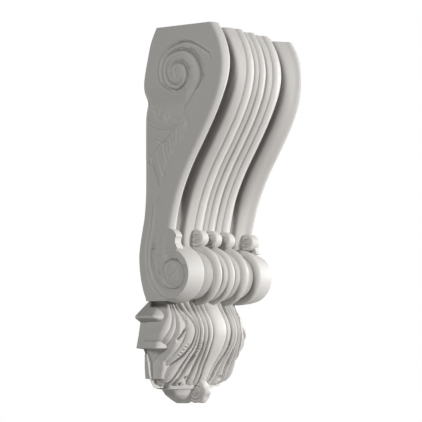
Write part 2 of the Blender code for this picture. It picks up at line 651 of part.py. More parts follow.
def leaf(collection):
    """Acanthus leaf draped over the drop, lofted through its rib and groove lines."""
    rings = []
    for k in range(LEAF_ROWS):
        height = LEAF_BOTTOM + (LEAF_TOP - LEAF_BOTTOM) * k / (LEAF_ROWS - 1)
        half = []
        for across, levels in LEAF_LINES:
            x = table(list(zip(LEAF_HEIGHTS, across)), height)
            level = table(list(zip(LEAF_HEIGHTS, levels)), height)
            px, depth, pz = leaf_point(x, height, max(level, LEAF_SQUARE_LIMIT))
            depth += min(0.0, level - LEAF_SQUARE_LIMIT)
            if half:
                px = max(px, half[-1][0] + LEAF_LEAST_STEP)
            half.append((px, depth, height if k in (0, LEAF_ROWS - 1) else pz))
        middle = leaf_point(0.0, height, table(list(zip(LEAF_HEIGHTS, LEAF_LINES[0][1])), height) + 1.0)
        root = half[-1][0]
        half = [(x, max(d, LEAF_ROOT_DEPTH + 1.0 + LEAF_BED_SLOPE * (root - x)), z) for x, d, z in half]
        ring = [at(spread(-root), LEAF_ROOT_DEPTH, height)]
        ring += [at(spread(-x), d, z) for x, d, z in reversed(half)]
        ring.append(at(middle[0], middle[1], height if k in (0, LEAF_ROWS - 1) else middle[2]))
        ring += [at(spread(x), d, z) for x, d, z in half]
        ring.append(at(spread(root), LEAF_ROOT_DEPTH, height))
        rings.append(ring)
    return loft("leaf", rings, collection)


def drop(collection):
    rings = []
    for height, half, side_depth, mid_depth in reversed(DROP_SECTIONS):
        half = spread(half)
        shoulder = side_depth - DROP_SHOULDER
        ring = [at(-half, -WALL_GAP, height), at(-half, shoulder, height)]
        for k in range(DROP_POINTS):
            share = 0.98 * (2.0 * k / (DROP_POINTS - 1) - 1.0)
            depth = side_depth + (mid_depth - side_depth) * dome(share, DROP_ROUNDING)
            ring.append(at(half * share, depth, height))
        ring += [at(half, shoulder, height), at(half, -WALL_GAP, height)]
        rings.append(ring)
    loft("drop", rings, collection)
    profile = []
    for share in (-1.0, -0.8, 0.0, 0.8, 1.0):
        profile.append((BALL_HALF_LENGTH * share, BALL_RADIUS - BALL_ROUNDING * (1.0 - dome(share, REED_ROUNDNESS))))
    turned("ball", profile, BALL_DEPTH, BALL_RADIUS + BALL_LIFT, 16, collection)


for old in list(bpy.data.objects):
    bpy.data.objects.remove(old, do_unlink=True)

part = bpy.data.collections.new("corbel")
tools = bpy.data.collections.new("joined_shapes")
cutters = bpy.data.collections.new("cut_shapes")
for group in (part, tools, cutters):
    bpy.context.scene.collection.children.link(group)

body = scroll_body(part)
body.name = "corbel"
bolster(tools)
curls(tools)
for side in (-1.0, 1.0):
    side_carving(side, tools)
    side_leaf(side, tools)
    lower_hollow(side, cutters)
drop(tools)
leaf(tools)
for shape in list(tools.objects) + list(cutters.objects):
    shape.hide_render = True
    shape.display_type = 'WIRE'

join = body.modifiers.new("join", 'BOOLEAN')
join.operation = 'UNION'
join.operand_type = 'COLLECTION'
join.collection = tools
join.solver = 'EXACT'
hollow = body.modifiers.new("hollow", 'BOOLEAN')
hollow.operation = 'DIFFERENCE'
hollow.operand_type = 'COLLECTION'
hollow.collection = cutters
hollow.solver = 'EXACT'

plaster = bpy.data.materials.new("cast plaster")
plaster.use_nodes = True
shader = plaster.node_tree.nodes["Principled BSDF"]
shader.inputs["Base Color"].default_value = (0.80, 0.79, 0.77, 1.0)
shader.inputs["Roughness"].default_value = 0.72
shader.inputs["Metallic"].default_value = 0.0
body.data.materials.append(plaster)
body.data.shade_smooth()
body.data.set_sharp_from_angle(angle=math.radians(35.0))
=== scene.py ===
import bpy
import math
import numpy as np
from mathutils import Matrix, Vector


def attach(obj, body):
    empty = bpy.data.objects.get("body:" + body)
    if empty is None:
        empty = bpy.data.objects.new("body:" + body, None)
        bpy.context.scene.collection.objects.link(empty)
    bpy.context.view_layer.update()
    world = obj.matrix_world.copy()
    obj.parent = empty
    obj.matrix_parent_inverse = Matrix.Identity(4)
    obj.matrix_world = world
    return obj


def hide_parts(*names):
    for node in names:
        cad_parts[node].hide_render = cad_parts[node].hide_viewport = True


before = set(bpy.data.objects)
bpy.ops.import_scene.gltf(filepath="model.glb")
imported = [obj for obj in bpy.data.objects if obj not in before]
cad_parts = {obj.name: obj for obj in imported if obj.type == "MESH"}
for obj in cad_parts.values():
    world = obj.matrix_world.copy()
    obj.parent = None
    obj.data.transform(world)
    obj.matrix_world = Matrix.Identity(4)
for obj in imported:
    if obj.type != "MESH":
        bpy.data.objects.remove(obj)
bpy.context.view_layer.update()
print("frame loaded")

mm = 0.001
halfWidth = 124.0
totalHeight = 600.0
originHeight = 300.0      # the frame's origin is half way up
wallGap = 20.0      # depths are counted from the backs of the side scrolls
bodyFoot = 164.0      # the body's meshes end here, behind the bolster
sharpAngle = 48.0      # in degrees: edges that turn more than this stay sharp
fineness = 1.0
acrossAll = np.linspace(-halfWidth, halfWidth, 4001)


# helpers for curves, all in millimetres
def tableAt(rows, heights, column=1):      # smooth values between a table's rows, by height
    rows = sorted(rows)
    z = np.array([r[0] for r in rows], float)
    v = np.array([r[column] for r in rows], float)
    h = np.clip(np.asarray(heights, float), z[0], z[-1])
    k = np.clip(np.searchsorted(z, h, side='right') - 1, 0, len(z) - 2)
    before, after = np.maximum(k - 1, 0), np.minimum(k + 2, len(z) - 1)
    span = z[k + 1] - z[k]
    m0 = (v[k + 1] - v[before]) / (z[k + 1] - z[before])
    m1 = (v[after] - v[k]) / (z[after] - z[k])
    t = (h - z[k]) / span
    return ((2 * t ** 3 - 3 * t ** 2 + 1) * v[k] + (t ** 3 - 2 * t ** 2 + t) * span * m0
            + (3 * t ** 2 - 2 * t ** 3) * v[k + 1] + (t ** 3 - t ** 2) * span * m1)


def dome(t, power=2.0):      # 1 at the middle, 0 at -1 and 1
    return np.maximum(0.0, 1.0 - np.abs(t) ** power) ** (1.0 / power)


def softStep(low, high, value):
    t = np.clip((value - low) / (high - low), 0.0, 1.0)
    return t * t * (3.0 - 2.0 * t)


def ease(t, points):      # straight runs between the points of a table
    return np.interp(t, [p[0] for p in points], [p[1] for p in points])


def shoulder(x, edge, level, bottom, low, power):      # rolls over from a level at the edge down to a groove
    t = np.clip((x - edge) / (bottom - edge), 0.0, 1.0)
    return low + (level - low) * dome(t, power)


def evenAlong(x, y, count):      # stations at even steps along a profile
    run = np.concatenate([[0.0], np.cumsum(np.hypot(np.diff(x), np.diff(y)))])
    return np.interp(np.linspace(0.0, run[-1], count), run, x)


def bend(points, count, between=16):      # even run of points along a soft curve through the given ones
    p = np.array(points, float)
    dense = []
    for k in range(len(p) - 1):
        a, b, c, d = p[max(k - 1, 0)], p[k], p[k + 1], p[min(k + 2, len(p) - 1)]
        for t in np.linspace(0.0, 1.0, between, endpoint=False):
            dense.append(0.5 * (2 * b + (c - a) * t + (2 * a - 5 * b + 4 * c - d) * t * t
                                + (3 * b - a - 3 * c + d) * t ** 3))
    dense.append(p[-1])
    dense = np.array(dense)
    run = np.concatenate([[0.0], np.cumsum(np.linalg.norm(np.diff(dense, axis=0), axis=1))])
    want = np.linspace(0.0, run[-1], count)
    return np.stack([np.interp(want, run, dense[:, i]) for i in range(p.shape[1])], axis=1)


# distance to a line, its side (left is positive) and how far along it the nearest spot lies
def nearLine(x, y, line, rightOnly=False):
    line = np.asarray(line, float)
    best = np.full(x.shape, 1e9)
    side = np.ones(x.shape)
    along = np.zeros(x.shape)
    for i in range(len(line) - 1):
        ax, ay = line[i]
        dx, dy = line[i + 1][0] - ax, line[i + 1][1] - ay
        size = dx * dx + dy * dy
        t = np.clip(((x - ax) * dx + (y - ay) * dy) / size, 0.0, 1.0)
        ex, ey = x - ax - t * dx, y - ay - t * dy
        away = np.hypot(ex, ey)
        hand = np.sign(dx * (y - ay) - dy * (x - ax) + 1e-12)
        closer = (away < best) & (hand < 0) if rightOnly else away < best
        best = np.where(closer, away, best)
        side = np.where(closer, hand, side)
        along = np.where(closer, (i + t) / (len(line) - 1), along)
    return best, side, along


def insideOutline(x, y, outline):
    inside = np.zeros(x.shape, bool)
    for (ax, ay), (bx, by) in zip(outline, outline[1:] + outline[:1]):
        crosses = ((ay > y) != (by > y)) & (x < (bx - ax) * (y - ay) / (by - ay + 1e-12) + ax)
        inside ^= crosses
    return inside


def fullTurn(steps):      # angles once round, as one row
    return np.linspace(0.0, math.tau, int(steps * fineness), endpoint=False)[None, :]


# arrays of one shape become one closed mesh: each row is a ring, and the first and last are capped
def gridMesh(name, x, depth, height, paintedShade=None):
    rows, columns = x.shape
    spots = np.stack([x, -(depth + wallGap), height - originHeight], axis=-1).reshape(-1, 3) * mm
    index = np.arange(rows * columns).reshape(rows, columns)
    index = np.concatenate([index, index[:, :1]], axis=1)
    quads = np.stack([index[:-1, :-1], index[:-1, 1:], index[1:, 1:], index[1:, :-1]], axis=-1)
    faces = quads.reshape(-1, 4).tolist()
    faces.append(list(reversed(range(columns))))
    faces.append([(rows - 1) * columns + i for i in range(columns)])
    mesh = bpy.data.meshes.new(name)
    mesh.from_pydata(spots.tolist(), [], faces)
    mesh.validate()
    if paintedShade is not None:      # how deep a spot lies in a cut, kept for the shade painted into the plaster's colour
        cutShade = mesh.attributes.new("paintedShade", 'FLOAT', 'POINT')
        cutShade.data.foreach_set("value", np.clip(paintedShade, 0.0, 1.0).ravel())
    obj = bpy.data.objects.new(name, mesh)
    bpy.context.scene.collection.objects.link(obj)
    mesh.shade_smooth()
    mesh.set_sharp_from_angle(angle=math.radians(sharpAngle))
    return obj


# a turned piece from rings of (radius, across); its far face mirrors the first faceRings rings
def turnedMesh(name, rings, faceRings, turn, s, middle=0.0):
    rings = rings + [(radius, -across) for radius, across in reversed(rings[:faceRings])]
    radius = np.concatenate([r for r, across in rings], axis=0)
    x = np.concatenate([across for r, across in rings], axis=0) + middle
    return gridMesh(name, x, s["depth"] + radius * np.cos(turn), s["height"] + radius * np.sin(turn))


# the reeded front: levels are counted from the tops of the rims, distances from the middle
frontReeds = {
    "centreHalf": 7.7, "centreCrease": -8.8, "centreRise": 5.0, "centreRound": 2.2,
    "narrowGroove": 18.5, "narrowLevel": -16.0, "narrowRound": 2.6,
    "lipInner": 31.2, "lipOuter": 47.8, "lipCrease": -7.5, "lipRise": 5.4, "lipRound": 2.3,
    "deep": [(47.8, -7.5), (51, -7.8), (54, -8.5), (58, -10.2), (61.6, -12.2), (64, -14.2),
             (65.8, -17.6), (67.1, -22.8), (69, -28.8), (72.5, -31.6), (78, -32.2), (82.5, -31.8),
             (85.2, -29.0), (86.8, -24.5), (88.6, -19.9), (91, -17.0), (94, -14.2), (97.5, -11.4),
             (101, -8.9), (104.3, -6.6)],
    "rim": [(104.3, -6.6), (106, -4.9), (108, -3.0), (110, -1.2), (112, -0.2), (114.5, 0), (117.5, -0.7),
            (120, -2.0), (122, -3.9), (123.3, -6.4), (124, -9.6)],
    "deepAtTop": [(47.8, -7.5), (54, -7.7), (60, -8.9), (64, -10.6), (67, -12.8), (69, -16), (70, -21),
                  (70.8, -27), (72.5, -32), (76, -33), (80, -32), (83, -27), (86, -20.5), (91, -14.5),
                  (97, -9.5), (101, -6.4), (104.3, -3.2)],
    "rimAtTop": [(104.3, -3.2), (105.2, -1.9), (106.5, -0.8), (108.5, -0.1), (110.5, 0), (114, -0.5),
                 (117.5, -1.3), (120, -2.4), (122, -3.9), (123.3, -5.9), (124, -8.5)],
    "topFrom": 455.0, "topFull": 545.0,
    "footFrom": 345.0, "footFull": 285.0, "footBelow": -8.0, "footRise": 0.4,
    "line": [(150, 44), (240, 45.3), (272, 47.8), (300, 52.8), (340, 64.7), (380, 82.8), (420, 105.8),
             (460, 127.8), (495, 142.4), (520, 148.2), (540, 149.1), (560, 146), (580, 139), (600, 128)],
}


def reedLevel(x, atTop=0.0, s=frontReeds):      # how far the surface lies behind the tops of the rims
    x = np.abs(x)
    centreDome = dome(np.minimum(x / s["centreHalf"], 1.0), s["centreRound"])
    centre = s["centreCrease"] + s["centreRise"] * centreDome
    inGroove = x < s["narrowGroove"]
    edge = np.where(inGroove, s["centreHalf"], s["lipInner"])
    crease = np.where(inGroove, s["centreCrease"], s["lipCrease"])
    narrow = shoulder(x, edge, crease, s["narrowGroove"], s["narrowLevel"], s["narrowRound"])
    middle, half = (s["lipInner"] + s["lipOuter"]) / 2, (s["lipOuter"] - s["lipInner"]) / 2
    lip = s["lipCrease"] + s["lipRise"] * dome(np.clip((x - middle) / half, -1, 1), s["lipRound"])
    deep = tableAt(s["deep"], x) * (1.0 - atTop) + tableAt(s["deepAtTop"], x) * atTop
    rim = tableAt(s["rim"], x) * (1.0 - atTop) + tableAt(s["rimAtTop"], x) * atTop
    return np.select([x <= s["centreHalf"], x <= s["lipInner"], x <= s["lipOuter"], x <= s["deep"][-1][0]],
                     [centre, narrow, lip, deep], rim)


def footLevel(level, z, s=frontReeds):      # the grooves run out where the reeds end
    atFoot = softStep(s["footFrom"], s["footFull"], z)
    return level + s["footRise"] * atFoot * np.maximum(0.0, s["footBelow"] - level)


def nearTop(z, s=frontReeds):      # the reeds grow fuller where the scroll turns over
    return softStep(s["topFrom"], s["topFull"], z)


# the carved sides: tables by height, with depths from the backs of the scrolls
sideCarving = {
    "rows": 500, "columns": 184,
    "backEdge": [(150, 2), (167, 0.5), (177, -3.3), (196, -8.6), (215, -11.5), (234, -12.6), (253, -10.6),
                 (278, -6), (300, -2), (335, 0), (455, 0), (480, 3), (498, -3), (512, -4), (527, -2),
                 (551, 3), (577, 9.5), (600, 20)],
    "bandEdge": [(150, 8), (250, 8), (276, 10), (308, 18), (334, 27), (350, 31), (367, 40), (388, 54),
                 (414, 69), (440, 82), (455, 76), (468, 72), (500, 76), (600, 76)],
    "sinking": [(150, 0), (300, 0), (318, 0.6), (345, 3.0), (440, 3.6), (462, 6.0), (476, 6.2), (488, 3.6),
                (502, 0.5), (508, 0), (600, 0)],
    "bandSlope": (-1.0, 1.4),
    "hook": [(246, 50), (247, 58), (250, 58.5), (255, 56.5), (260, 56), (264, 57.5), (268, 57.5),
             (272, 55.5), (275, 52), (277.5, 47), (279.5, 42), (281, 38.4), (283, 38.2), (286, 40.6),
             (290, 42.6), (300, 44.8)],
    "hookFoot": 246.5, "hookTop": 300.0,
    "discCentre": (41.0, 206.5), "discRadius": 40.4, "leastFront": 34.0,
    "backInset": 0.05, "frontInset": 0.6, "edgeShare": 0.02, "edgeKeeps": 0.25,
    "deepest": 8.0, "slab": 10.0,
}
sideLeaf = {
    "outline": [(-2, 474), (10, 475), (19, 469.5), (21, 460), (23.5, 457), (27, 463.5), (33.5, 464.5),
                (39, 462), (40, 454), (42.5, 450.5), (46.5, 455.5), (56, 452.5), (66, 451.5), (75, 447),
                (73, 433), (63, 415), (50, 394), (38, 370), (29, 348), (26.5, 343), (21, 352), (11, 378),
                (-2, 388)],
    "edgeSlope": (-0.6, 1.2), "sinking": 1.7, "swell": 0.9, "swellReach": 9.0,
    "veins": [      # points, rise and width
        ([(71, 445.5), (58, 438), (46, 427), (33, 416), (19, 403), (8, 394)], 1.5, 2.2),
        ([(66, 446), (56, 441), (42, 437), (25, 438), (13, 443.5), (1, 449)], 1.3, 2.0),
        ([(40, 420), (33, 416.5), (23, 421.5), (12, 417), (1, 410)], 1.1, 1.8),
    ],
    "veinPoints": 30, "veinTaper": 0.55, "veinCrest": 0.55,
    "veinGroove": 0.55, "veinGrooveAt": 1.5, "veinGrooveWidth": 0.9,
    "strokes": [
        [(60, 436), (59, 425), (58.5, 415)], [(46, 424), (47, 412), (50, 397)],
        [(34, 412), (35, 399), (40, 384)], [(22, 402), (24, 386), (33, 362)],
        [(9, 393), (12, 377), (23, 352)], [(66, 430), (66, 422)],
    ],
    "strokePoints": 14, "strokeDepth": 1.7, "strokeWidth": 1.2, "strokeFade": 4.0, "strokeEnd": 0.25,
    "strokeLip": 0.6, "strokeLipAt": 2.4, "strokeLipWidth": 1.5,
}
# the scrolls cut into the sides: depth, width and wall are tables along each line, from 0 to 1
sideScrolls = {
    "upper": {
        "line": [(55, 519), (52, 526), (48, 534), (54, 540), (63, 543), (75, 538), (81, 523), (77, 509),
                 (65, 500), (54, 499), (38, 508), (31, 529), (38, 551), (54, 560), (73, 562), (92, 554),
                 (103, 540), (108, 524), (106, 510), (99, 498), (84, 477), (72, 464), (68, 456)],
        "points": 100, "ridge": 1.8,
        "depth": [(0, 1), (0.1, 3.2), (0.19, 4.6), (0.3, 4), (0.45, 2.6), (0.6, 3.4), (0.72, 5.6),
                  (0.85, 3.0), (1, 0)],
        "width": [(0, 5), (0.1, 10), (0.19, 15), (0.3, 11), (0.45, 11), (0.6, 13), (0.72, 21), (0.85, 15),
                  (1, 12)],
        "wall": [(0, 1.6), (0.1, 5), (0.19, 8), (0.3, 5), (0.44, 2.4), (0.6, 4.5), (0.72, 10), (0.8, 8.5),
                 (0.9, 4), (1, 2)],
    },
    "upperOuter": {
        "line": [(50, 499), (31, 512), (27, 529), (31, 548), (42, 563), (61, 572), (80, 574), (99, 567),
                 (116, 556), (122, 551), (127, 540)],
        "points": 40, "ridge": 1.6,
        "depth": [(0, 0.4), (0.35, 1.0), (0.6, 3.2), (0.85, 2.6), (1, 0)],
        "width": [(0, 5), (0.6, 9), (1, 7)],
        "wall": [(0, 1.5), (0.5, 2.0), (0.75, 3.4), (1, 2)],
    },
    "lower": {
        "line": [(53, 207), (46, 201), (40, 203), (37, 209), (37, 216), (39, 224), (45, 228), (54, 229),
                 (64, 225), (71, 217), (75, 206), (73, 195), (67, 187), (57, 183), (45, 184), (35, 189),
                 (26, 197), (19, 210), (15, 222), (14, 233), (15, 246), (19, 257), (26, 269)],
        "points": 120, "ridge": 1.8,
        "depth": [(0, 0.8), (0.12, 1.6), (0.22, 3.4), (0.34, 6.5), (0.42, 6.5), (0.52, 3.4), (0.62, 1.6),
                  (0.8, 2.2), (0.95, 1.2), (1, 0)],
        "width": [(0, 4), (0.2, 9), (0.38, 17), (0.55, 12), (0.75, 8), (1, 8)],
        "wall": [(0, 1.5), (0.2, 2.0), (0.3, 6.0), (0.42, 7.5), (0.52, 3.5), (0.65, 1.8), (1, 1.8)],
    },
    "lowerOuter": {
        "line": [(16, 318), (13, 296), (12, 282), (8, 268), (5, 249), (4, 233), (5, 219), (9, 205),
                 (14, 193), (22, 182), (31, 173), (43, 168), (54, 164)],
        "points": 50, "ridge": 1.4,
        "depth": [(0, 0), (0.2, 0.9), (0.6, 1.4), (0.85, 2.4), (1, 2.4)],
        "width": [(0, 7), (1, 7)],
        "wall": [(0, 1.6), (1, 2.0)],
    },
    "cove": {
        "line": [(56, 268), (52, 265), (49, 259), (51, 252), (50, 245), (39, 239), (29, 230), (24, 218),
                 (23, 209), (24, 203)],
        "points": 40, "ridge": 0.0,
        "depth": [(0, 0.5), (0.15, 3.0), (0.35, 5.5), (0.6, 6.0), (0.85, 2.0), (1, 0)],
        "width": [(0, 10), (0.2, 22), (0.5, 24), (0.75, 13), (1, 5)],
        "wall": [(0, 2), (0.5, 5), (1, 2)],
    },
}
scrollCrest = {"shift": 0.8, "width": 1.9, "fade": 12.0, "start": 0.03}


# sinks the surface on the right hand of a line: a wall at the line, then a slope that eases away
def scrollCut(x, y, s, crest=scrollCrest):
    line = bend(s["line"], s["points"])
    inner, _, place = nearLine(x, y, line, rightOnly=True)
    wall = ease(place, s["wall"])
    fall = softStep(0.0, wall, inner) * (1.0 - softStep(wall, ease(place, s["width"]), inner))
    sunk = ease(place, s["depth"]) * fall
    away, side, place = nearLine(x, y, line)
    ends = np.clip(crest["fade"] * np.minimum(place + crest["start"], 1.0 - place), 0.0, 1.0)
    return s["ridge"] * ends * np.exp(-((away - crest["shift"] * side) / crest["width"]) ** 2) - sunk


def sunkField(d, z, s=sideCarving):      # the field that lies behind the band along the front edge
    return -tableAt(s["sinking"], z) * softStep(*s["bandSlope"], tableAt(s["bandEdge"], z) - d)


def leafRelief(d, z, field, s=sideLeaf):
    outline = s["outline"]
    away, _, _ = nearLine(d, z, outline + outline[:1])
    away = np.where(insideOutline(d, z, outline), away, -away)
    plate = softStep(*s["edgeSlope"], away)
    level = s["swell"] * softStep(0.0, s["swellReach"], away) - s["sinking"]
    for points, rise, width in s["veins"]:
        far, _, along = nearLine(d, z, bend(points, s["veinPoints"]))
        height = rise * (1.0 - s["veinTaper"] * along)
        groove = (far - width * s["veinGrooveAt"]) / (width * s["veinGrooveWidth"])
        level = level + height * np.exp(-(far / (width * s["veinCrest"])) ** 2)
        level = level - s["veinGroove"] * height * np.exp(-groove ** 2)
    for points in s["strokes"]:
        far, side, along = nearLine(d, z, bend(points, s["strokePoints"]))
        ends = np.clip(s["strokeFade"] * np.minimum(along, 1.0 - along) + s["strokeEnd"], 0, 1)
        lip = (far * side + s["strokeLipAt"]) / s["strokeLipWidth"]
        level = level - s["strokeDepth"] * ends * np.exp(-(far / s["strokeWidth"]) ** 2)
        level = level + s["strokeLip"] * ends * np.exp(-lip ** 2)
    return plate * level + (1.0 - plate) * field


def sideRelief(d, z):      # how far the side face stands out from its plane
    level = leafRelief(d, z, sunkField(d, z))
    for cut in sideScrolls.values():
        level = level + scrollCut(d, z, cut)
    return level


def sideFront(z, s=sideCarving):      # the front edge of a side face: the disc, the hook and the rim
    rim = tableAt(frontReeds["line"], z) + reedLevel(np.array(halfWidth), nearTop(z)) - s["frontInset"]
    hook = tableAt(s["hook"], z)
    depth, height = s["discCentre"]
    disc = depth + np.sqrt(np.maximum(0.0, s["discRadius"] ** 2 - (z - height) ** 2))
    foot = np.maximum(disc, s["leastFront"])
    return np.where(z > s["hookTop"], rim, np.where(z >= s["hookFoot"], hook, foot))


def makeSideFace(name, side, s=sideCarving):      # a thin carved slab that lies on the body's side
    rows, columns = int(s["rows"] * fineness), int(s["columns"] * fineness)
    z = np.linspace(bodyFoot, totalHeight, rows)[:, None]
    back, last = tableAt(s["backEdge"], z) + s["backInset"], sideFront(z)
    t = np.linspace(0.0, 1.0, columns)[None, :]
    d = back + (last - back) * t
    full = softStep(0.0, s["edgeShare"], t) * softStep(0.0, s["edgeShare"], 1.0 - t)
    relief = sideRelief(d, np.repeat(z, columns, axis=1))
    x = halfWidth + relief * (s["edgeKeeps"] + (1.0 - s["edgeKeeps"]) * full)
    x = np.maximum(x, halfWidth - s["deepest"])
    inner = np.full_like(z, halfWidth - s["slab"])
    x = np.concatenate([inner, x, inner], axis=1)
    d = np.concatenate([back, d, last], axis=1)
    return gridMesh(name, side * x, d, np.repeat(z, columns + 2, axis=1))


# the body between the side faces, with its core to the wall
bodyShape = {
    "rows": 290, "columns": 250,
    "coreHalf": 84.0, "coreHalfTop": 62.0, "coreTaperStart": 540.0,
    "sideInset": 9.0, "frontInset": 0.2, "edgeStep": 0.3,
    "edgeBack": 0.8, "edgeBackLow": 7.0, "lowBelow": 305.0,      # further back beside the small scroll
    "shadeStartLevel": -14.5, "shadeRampDepth": 10.0,
}


def makeScrollBody(s=bodyShape):
    rows = int(s["rows"] * fineness)
    z = np.linspace(bodyFoot, totalHeight, rows)[:, None]
    front = tableAt(frontReeds["line"], z)
    back = tableAt(sideCarving["backEdge"], z)
    over = np.clip((z - s["coreTaperStart"]) / (totalHeight - s["coreTaperStart"]), 0, 1)
    core = s["coreHalf"] + (s["coreHalfTop"] - s["coreHalf"]) * over
    ones = np.ones_like(z)
    inside = (halfWidth - s["sideInset"]) * ones
    last = front + reedLevel(np.array(halfWidth), nearTop(z))
    near = last - np.where(z < s["lowBelow"], s["edgeBackLow"], s["edgeBack"])
    x = np.concatenate([core, core, inside, inside, inside, (halfWidth - s["frontInset"]) * ones], axis=1)
    d = np.concatenate([-wallGap * ones, back, back, (back + last) / 2, near - s["edgeStep"], near], axis=1)
    across = evenAlong(acrossAll, reedLevel(acrossAll), int(s["columns"] * fineness))
    level = footLevel(reedLevel(across[None, :], nearTop(z)), z)
    reeds = np.repeat(across[None, :], rows, axis=0)
    xAll = np.concatenate([-x, reeds, x[:, ::-1]], axis=1)
    dAll = np.concatenate([d, front + level, d[:, ::-1]], axis=1)
    edges = np.zeros_like(x)
    # painted shade: the deeper the reeds' grooves, the darker their base colour; the side strips get none
    cutShade = np.concatenate([edges, (s["shadeStartLevel"] - level) / s["shadeRampDepth"], edges], axis=1)
    return gridMesh("scrollBody", xAll, dAll, np.repeat(z, xAll.shape[1], axis=1), cutShade)


sideFaces = [makeSideFace("sideCarvingLeft", -1.0), makeSideFace("sideCarvingRight", 1.0)]
print("side faces carved")
scrollBody = makeScrollBody()
print("scroll body made:", len(scrollBody.data.polygons), "faces")


# the bolster under the reeds: radii at the creases and tops of its own reeds
bolsterShape = {
    "steps": 150, "columns": 250, "height": 207.5, "depth": 38.5,
    "centreCrease": 42.0, "centreTop": 48.0, "narrow": 36.5, "narrowRound": 2.4,
    "lipInner": 41.0, "lipOuter": 40.0, "lipTop": 49.5,
    "channel": 34.0, "channelRound": 2.4, "foot": 79.0, "riseRound": 2.6,
    "band": 86.0, "bandRadius": 46.5, "end": 40.9, "bandBend": 0.38,
    "capInset": 4.0, "capRadius": 6.0, "shadeStartLevel": 41.5, "shadeRampDepth": 8.0,
}


def bolsterRadius(x, s=bolsterShape, r=frontReeds):
    x = np.abs(x)
    centreDome = dome(np.minimum(x / r["centreHalf"], 1.0), r["centreRound"])
    centre = s["centreCrease"] + (s["centreTop"] - s["centreCrease"]) * centreDome
    inGroove = x < r["narrowGroove"]
    edge = np.where(inGroove, r["centreHalf"], r["lipInner"])
    crease = np.where(inGroove, s["centreCrease"], s["lipInner"])
    narrow = shoulder(x, edge, crease, r["narrowGroove"], s["narrow"], s["narrowRound"])
    middle, half = (r["lipInner"] + r["lipOuter"]) / 2, (r["lipOuter"] - r["lipInner"]) / 2
    crease = np.where(x < middle, s["lipInner"], s["lipOuter"])
    lip = crease + (s["lipTop"] - crease) * dome(np.clip((x - middle) / half, -1, 1), r["lipRound"])
    channel = shoulder(x, r["lipOuter"], s["lipOuter"], s["foot"], s["channel"], s["channelRound"])
    rise = shoulder(x, s["band"], s["bandRadius"], s["foot"], s["channel"], s["riseRound"])
    t = np.clip((x - s["band"]) / (halfWidth - s["band"]), 0, 1)
    bow = (1.0 - s["bandBend"]) * t + s["bandBend"] * t ** 2
    band = s["bandRadius"] + (s["end"] - s["bandRadius"]) * bow
    return np.select([x <= r["centreHalf"], x <= r["lipInner"], x <= r["lipOuter"], x <= s["foot"],
                      x <= s["band"]], [centre, narrow, lip, channel, rise], band)


def makeBolster(s=bolsterShape):
    turn = fullTurn(s["steps"])
    steps = turn.shape[1]
    across = evenAlong(acrossAll, bolsterRadius(acrossAll), int(s["columns"] * fineness))[:, None]
    radius = bolsterRadius(across)
    inside, cap = halfWidth - s["capInset"], [[s["capRadius"]]]
    across = np.concatenate([[[-inside]], across, [[inside]]], axis=0)
    radius = np.concatenate([cap, radius, cap], axis=0)
    toDisc = np.clip((np.abs(across) - s["band"]) / (halfWidth - s["band"]), 0, 1)      # round the discs
    discDepth, discHeight = sideCarving["discCentre"]
    depth = s["depth"] + (discDepth - s["depth"]) * toDisc
    height = s["height"] + (discHeight - s["height"]) * toDisc
    # painted shade: the bolster's channels darken in colour the smaller their radius
    cutShade = np.where(radius > s["capRadius"], (s["shadeStartLevel"] - radius) / s["shadeRampDepth"], 0.0)
    return gridMesh("bolster", np.repeat(across, steps, axis=1), depth + radius * np.cos(turn),
                    height + radius * np.sin(turn), np.repeat(cutShade, steps, axis=1))


bolster = makeBolster()
print("bolster made:", len(bolster.data.polygons), "faces")


# the small scrolls where the reeds end
smallScrolls = {
    "spans": [(-49.5, -30.5), (-9.5, 9.0), (30.5, 48.5), (101.5, 123.5)],      # left and right ends of each
    "height": 266.5, "depth": 45.3, "radius": 14.0, "edge": 1.56, "edgeRound": 2.4, "edgeReach": 1.6,
    "steps": 80, "faceRings": 26, "edgeRings": 30, "eyeRadius": 0.2, "leastRadius": 0.6,
    "growth": 2.3, "start": 0.1, "channel": 2.6, "slope": 0.30, "wall": 0.07,
    "eye": (1.0, 3.0), "brim": (2.0, 0.4),
}


def makeSmallScroll(number, left, right, s=smallScrolls):
    turn = fullTurn(s["steps"])
    middle, half = (left + right) / 2.0, (right - left) / 2.0
    faceRadius = s["radius"] - s["edge"]

    def winding(r):      # a channel that winds in to the eye
        turns = np.log(np.maximum(r, s["leastRadius"]) / faceRadius) / math.log(s["growth"])
        phase = (turns + turn / math.tau + s["start"]) % 1.0 - 0.5
        channel = np.exp(-(phase / np.where(phase < 0.0, s["slope"], s["wall"])) ** 2)
        brim = softStep(faceRadius - s["brim"][0], faceRadius - s["brim"][1], r)
        return s["channel"] * channel * softStep(*s["eye"], r) * (1.0 - brim)
    faceRings = int(s["faceRings"] * fineness) + 4
    rings = [(np.full_like(turn, r), -half + winding(r))
             for r in np.linspace(s["eyeRadius"], faceRadius, faceRings)]
    for t in np.linspace(-1.0, 1.0, int(s["edgeRings"] * fineness) + 5):
        swell = t if t > 0.0 else min(0.0, s["edgeReach"] * (t + 1.0) - 1.0)
        radius = faceRadius + s["edge"] * dome(swell, s["edgeRound"])
        rings.append((np.full_like(turn, radius), np.full_like(turn, half * t)))
    return turnedMesh("smallScroll%d" % number, rings, faceRings, turn, s, middle)


# the left rim's own scroll, flush with the side face
edgeScroll = {
    "outline": [(20, 287), (37.6, 287), (37.2, 282), (42, 280), (47.5, 277.5), (52.5, 275), (56, 271.5),
                (58.4, 266.5), (56.8, 262), (56.4, 256), (58.8, 250), (57, 244), (20, 236)],
    "points": 110, "middle": (30.0, 262.0), "outer": 123.8, "width": 20.5, "rounding": 5.0,
    "straight": (0.0, 0.1, 0.3, 0.5, 0.7),      # shares of the width, before the rounding
    "roundFrom": 0.1, "roundSteps": 10,
}


